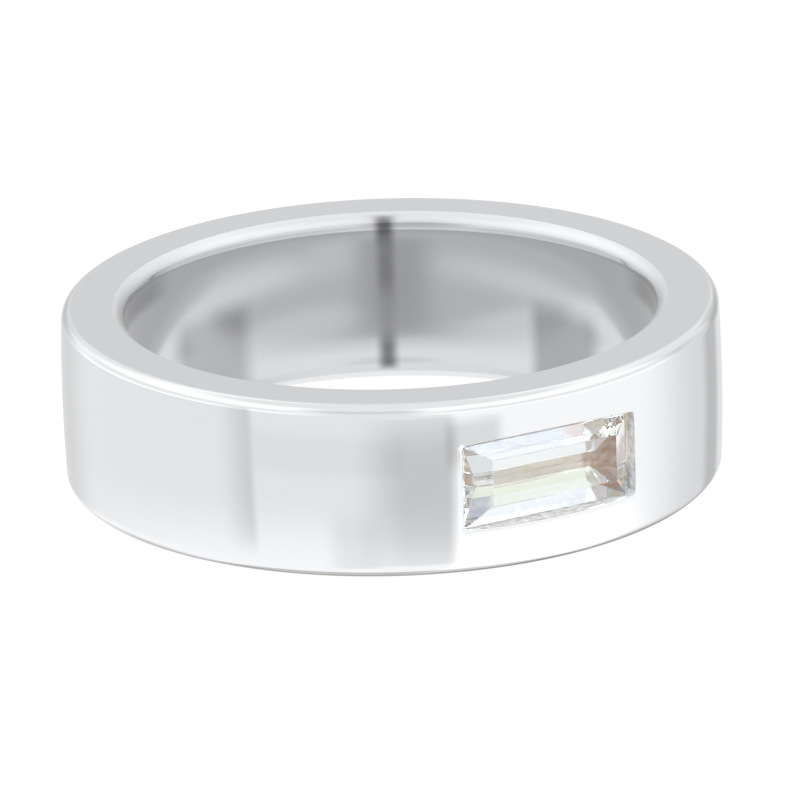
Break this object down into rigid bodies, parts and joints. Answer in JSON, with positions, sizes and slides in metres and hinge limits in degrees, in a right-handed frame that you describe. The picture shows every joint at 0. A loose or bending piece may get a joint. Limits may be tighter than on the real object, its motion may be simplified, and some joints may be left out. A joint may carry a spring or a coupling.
{
  "type": "band ring with a flush-set baguette stone",
  "caption": "Wide polished finger ring with rounded edges, comfort rounding inside and a clear step-cut baguette stone set flush in its outer wall.",
  "frame": {"origin": "on the ring's axis, in the flat face that the ring lies on", "axes": "+Z along the ring's axis, up from the face it lies on; the stone faces -Y"},
  "size_m": [0.0224, 0.0224, 0.006],
  "materials": {
    "polished_silver": "mirror polished, white rhodium plated",
    "clear_topaz": "polished facets, colourless with a faint ice tint"
  },
  "bodies": {
    "root": {"band": "polished_silver", "stone": "clear_topaz"}
  },
  "joints": []
}
